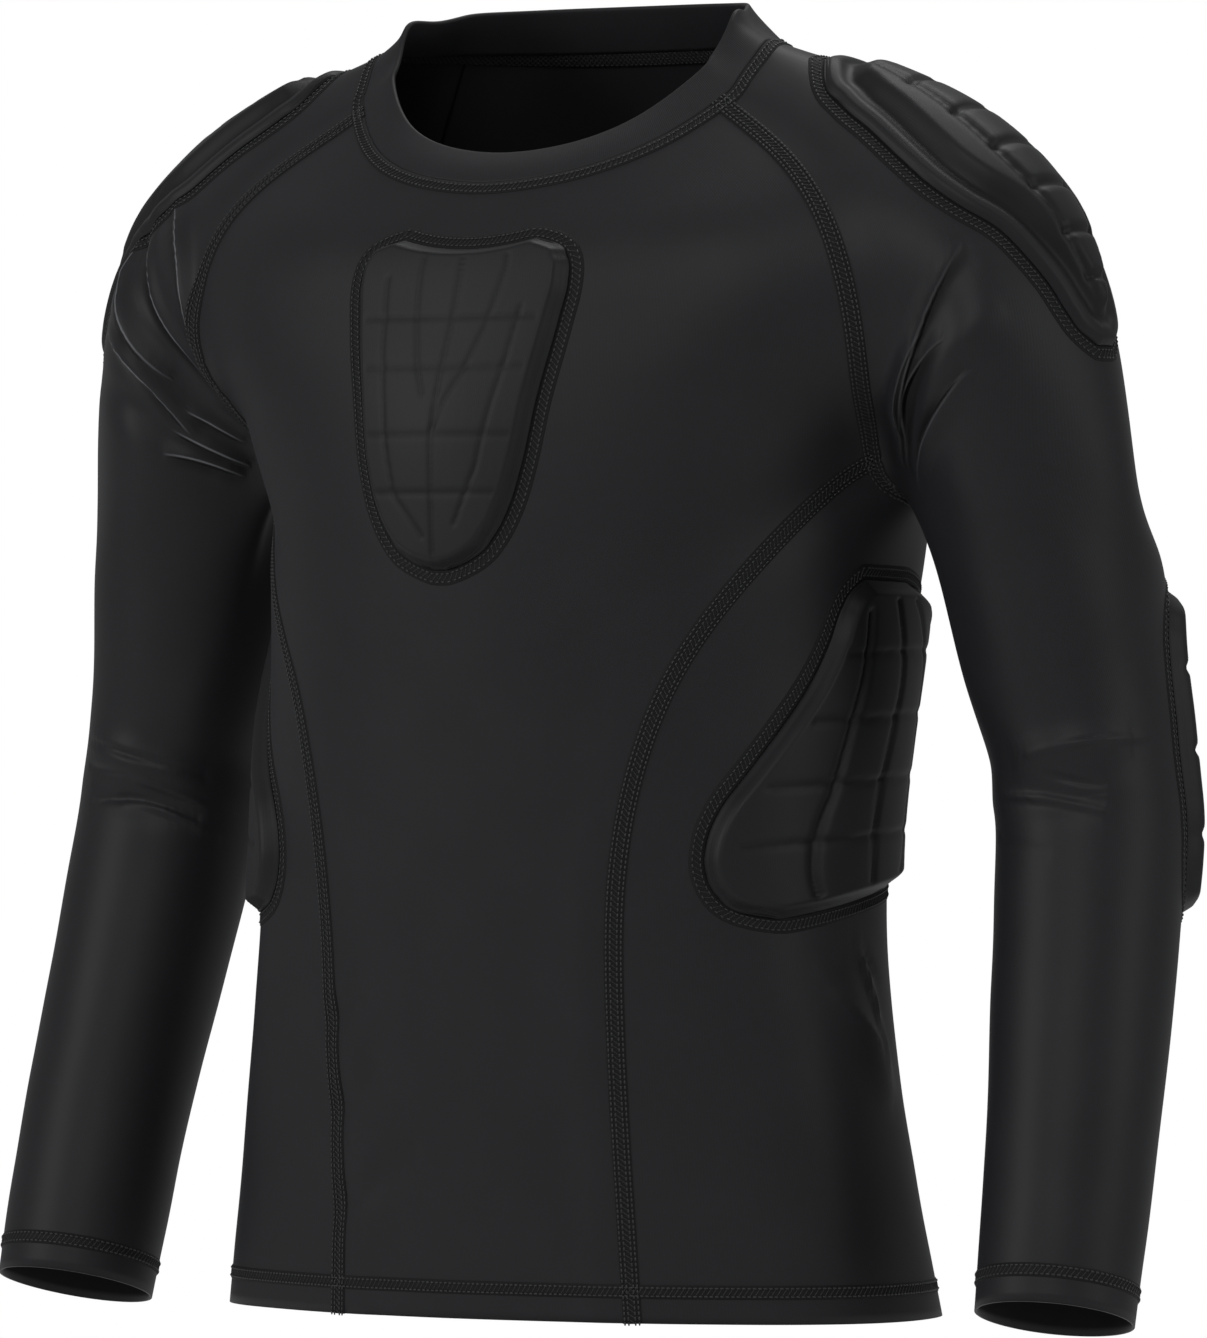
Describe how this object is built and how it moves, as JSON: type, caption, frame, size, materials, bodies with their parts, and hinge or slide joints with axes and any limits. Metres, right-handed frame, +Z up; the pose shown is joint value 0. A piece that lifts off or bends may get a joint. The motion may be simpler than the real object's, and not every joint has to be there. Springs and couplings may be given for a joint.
{
  "type": "padded compression shirt",
  "caption": "Close-fitting long-sleeved raglan shirt with foam pads on the chest, ribs, shoulders and elbows, filled out as worn.",
  "frame": {"origin": "middle of the neck opening, level with the tops of the shoulders, where the wearer holds the shirt up", "axes": "+Z up, the front faces -Y, the wearer's left arm is at +X"},
  "size_m": [0.5586, 0.2446, 0.5736],
  "materials": {
    "body_knit": "fine black knit with a soft sheen",
    "side_knit": "fine black knit with a soft sheen",
    "sleeve_knit": "fine black knit with a soft sheen",
    "collar_knit": "folded black knit band",
    "pad_cover": "black knit stretched over foam"
  },
  "bodies": {
    "root": {"front": "body_knit", "back": "body_knit", "side_left": "side_knit", "side_right": "side_knit", "sleeve_left": "sleeve_knit", "sleeve_right": "sleeve_knit", "collar": "collar_knit", "chest_pad": "pad_cover", "rib_pad_left": "pad_cover", "rib_pad_right": "pad_cover", "shoulder_pad_left": "pad_cover", "shoulder_pad_right": "pad_cover", "elbow_pad_left": "pad_cover", "elbow_pad_right": "pad_cover"}
  },
  "joints": []
}
